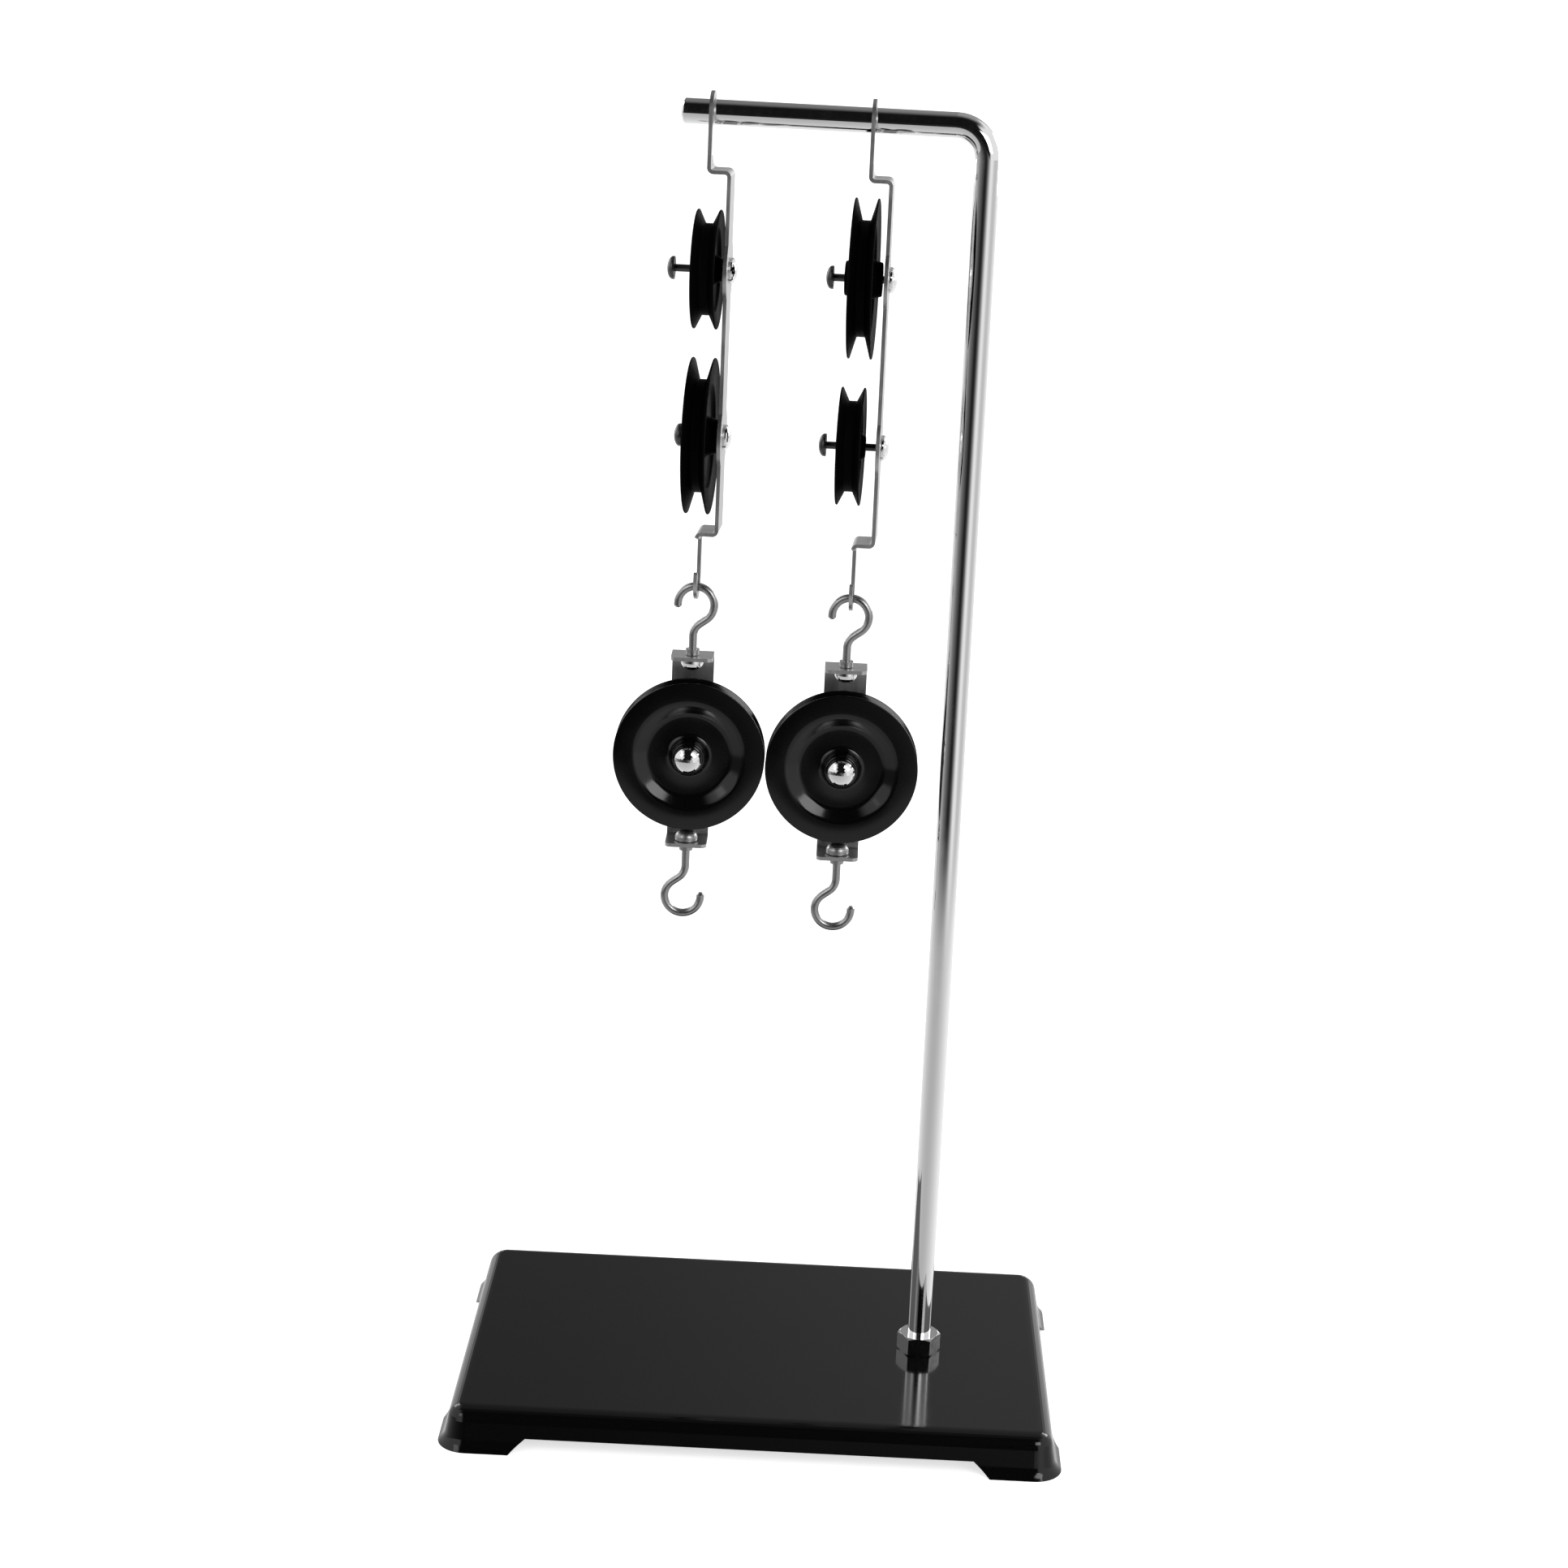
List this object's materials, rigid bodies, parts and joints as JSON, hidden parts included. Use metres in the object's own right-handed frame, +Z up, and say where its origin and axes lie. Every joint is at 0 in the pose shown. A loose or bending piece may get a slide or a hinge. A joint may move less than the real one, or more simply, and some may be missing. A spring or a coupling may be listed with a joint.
{
  "type": "pulley demonstrator",
  "caption": "Bench stand with a bent rod whose arm carries hooked tandem pulleys, with single swivel pulleys hanging below them, for showing how pulleys lift loads.",
  "frame": {"origin": "bench level under the middle of the base", "axes": "+Z up, +X along the base's long side toward the upright rod, +Y to the back"},
  "size_m": [0.2086, 0.138, 0.4402],
  "materials": {
    "base_paint": "gloss black enamel",
    "rod_chrome": "bright chrome plate",
    "nut_chrome": "bright plate",
    "strip_nickel": "nickel plate, satin",
    "wire_nickel": "nickel plate, bright",
    "pin_nickel": "nickel plate, satin",
    "dome_chrome": "bright chrome plate",
    "wheel_plastic": "moulded gloss black"
  },
  "bodies": {
    "stand": {"base_plate": "base_paint", "stand_rod": "rod_chrome", "base_nut": "nut_chrome", "base_washer": "nut_chrome", "base_lock_nut": "nut_chrome"},
    "left_tandem": {"left_tandem_frame": "strip_nickel", "left_upper_pin": "pin_nickel", "left_upper_cap": "dome_chrome", "left_lower_pin": "pin_nickel", "left_lower_cap": "dome_chrome"},
    "left_upper_wheel_body": {"left_upper_wheel": "wheel_plastic"},
    "left_lower_wheel_body": {"left_lower_wheel": "wheel_plastic"},
    "left_top_hook_body": {"left_top_hook": "wire_nickel", "left_top_collar": "dome_chrome", "left_top_dome": "dome_chrome"},
    "left_single": {"left_single_frame": "strip_nickel", "left_single_pin": "pin_nickel", "left_single_dome": "dome_chrome"},
    "left_single_wheel_body": {"left_single_wheel": "wheel_plastic"},
    "left_bottom_hook_body": {"left_bottom_hook": "wire_nickel", "left_bottom_collar": "dome_chrome", "left_bottom_dome": "dome_chrome"},
    "right_tandem": {"right_tandem_frame": "strip_nickel", "right_upper_pin": "pin_nickel", "right_upper_cap": "dome_chrome", "right_lower_pin": "pin_nickel", "right_lower_cap": "dome_chrome"},
    "right_upper_wheel_body": {"right_upper_wheel": "wheel_plastic"},
    "right_lower_wheel_body": {"right_lower_wheel": "wheel_plastic"},
    "right_top_hook_body": {"right_top_hook": "wire_nickel", "right_top_collar": "dome_chrome", "right_top_dome": "dome_chrome"},
    "right_single": {"right_single_frame": "strip_nickel", "right_single_pin": "pin_nickel", "right_single_dome": "dome_chrome"},
    "right_single_wheel_body": {"right_single_wheel": "wheel_plastic"},
    "right_bottom_hook_body": {"right_bottom_hook": "wire_nickel", "right_bottom_collar": "dome_chrome", "right_bottom_dome": "dome_chrome"}
  },
  "joints": [
    {"name": "left_tandem_swing", "type": "hinge", "parent": "stand", "child": "left_tandem", "pos_m": [-0.0306, 0.00874, 0.4335], "axis": [0.9903, -0.1392, 0], "range_deg": [-60, 60]},
    {"name": "left_upper_wheel_spin", "type": "hinge", "parent": "left_tandem", "child": "left_upper_wheel_body", "pos_m": [-0.0306, 0.00874, 0.384], "axis": [0.9986, -0.0523, 0], "continuous": true},
    {"name": "left_lower_wheel_spin", "type": "hinge", "parent": "left_tandem", "child": "left_lower_wheel_body", "pos_m": [-0.031, 0.00876, 0.33005], "axis": [0.9986, -0.0523, 0], "continuous": true},
    {"name": "left_single_swing", "type": "hinge", "parent": "left_tandem", "child": "left_top_hook_body", "pos_m": [-0.0306, 0.00874, 0.2799], "axis": [0.9903, -0.1392, 0], "range_deg": [-60, 60]},
    {"name": "left_single_swivel", "type": "hinge", "parent": "left_top_hook_body", "child": "left_single", "pos_m": [-0.03125, 0.00883, 0.25658], "axis": [0, 0, 1], "continuous": true},
    {"name": "left_single_wheel_spin", "type": "hinge", "parent": "left_single", "child": "left_single_wheel_body", "pos_m": [-0.03125, 0.00883, 0.22228], "axis": [0, -1, 0], "continuous": true},
    {"name": "left_bottom_hook_swivel", "type": "hinge", "parent": "left_single", "child": "left_bottom_hook_body", "pos_m": [-0.03125, 0.00883, 0.19098], "axis": [0, 0, 1], "continuous": true},
    {"name": "right_tandem_swing", "type": "hinge", "parent": "stand", "child": "right_tandem", "pos_m": [0.02059, 0.00155, 0.4335], "axis": [0.9903, -0.1392, 0], "range_deg": [-60, 60]},
    {"name": "right_upper_wheel_spin", "type": "hinge", "parent": "right_tandem", "child": "right_upper_wheel_body", "pos_m": [0.0196, 0.0016, 0.384], "axis": [0.9986, -0.0523, 0], "continuous": true},
    {"name": "right_lower_wheel_spin", "type": "hinge", "parent": "right_tandem", "child": "right_lower_wheel_body", "pos_m": [0.018, 0.00168, 0.33005], "axis": [0.9986, -0.0523, 0], "continuous": true},
    {"name": "right_single_swing", "type": "hinge", "parent": "right_tandem", "child": "right_top_hook_body", "pos_m": [0.02059, 0.00155, 0.2799], "axis": [0.9903, -0.1392, 0], "range_deg": [-60, 60]},
    {"name": "right_single_swivel", "type": "hinge", "parent": "right_top_hook_body", "child": "right_single", "pos_m": [0.01994, 0.00164, 0.25658], "axis": [0, 0, 1], "continuous": true},
    {"name": "right_single_wheel_spin", "type": "hinge", "parent": "right_single", "child": "right_single_wheel_body", "pos_m": [0.01994, 0.00164, 0.22228], "axis": [0, -1, 0], "continuous": true},
    {"name": "right_bottom_hook_swivel", "type": "hinge", "parent": "right_single", "child": "right_bottom_hook_body", "pos_m": [0.01994, 0.00164, 0.19098], "axis": [0, 0, 1], "continuous": true}
  ]
}
